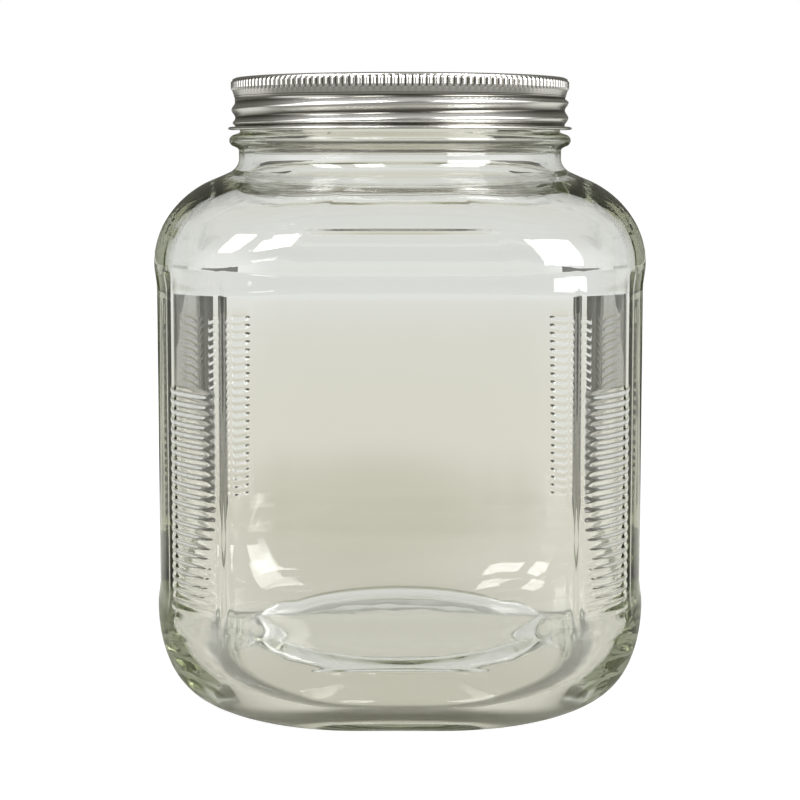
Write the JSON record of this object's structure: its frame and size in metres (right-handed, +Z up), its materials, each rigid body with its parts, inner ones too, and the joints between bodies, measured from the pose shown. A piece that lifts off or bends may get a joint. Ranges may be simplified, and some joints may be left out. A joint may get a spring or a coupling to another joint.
{
  "type": "square wide-mouth glass storage jar with screw lid",
  "caption": "Empty square glass storage jar with rounded corners, ribbed corner grips, round wide neck and a knurled aluminium screw lid.",
  "frame": {"origin": "centre of the base, on the surface that the jar stands on", "axes": "+Z up through the neck, front panel facing -Y, right-hand side at +X"},
  "size_m": [0.16, 0.16, 0.2051],
  "materials": {
    "glass": "clear pressed glass with a faint grey-green cast",
    "lid_metal": "brushed"
  },
  "bodies": {
    "root": {"jar": "glass", "lid": "lid_metal"}
  },
  "joints": []
}
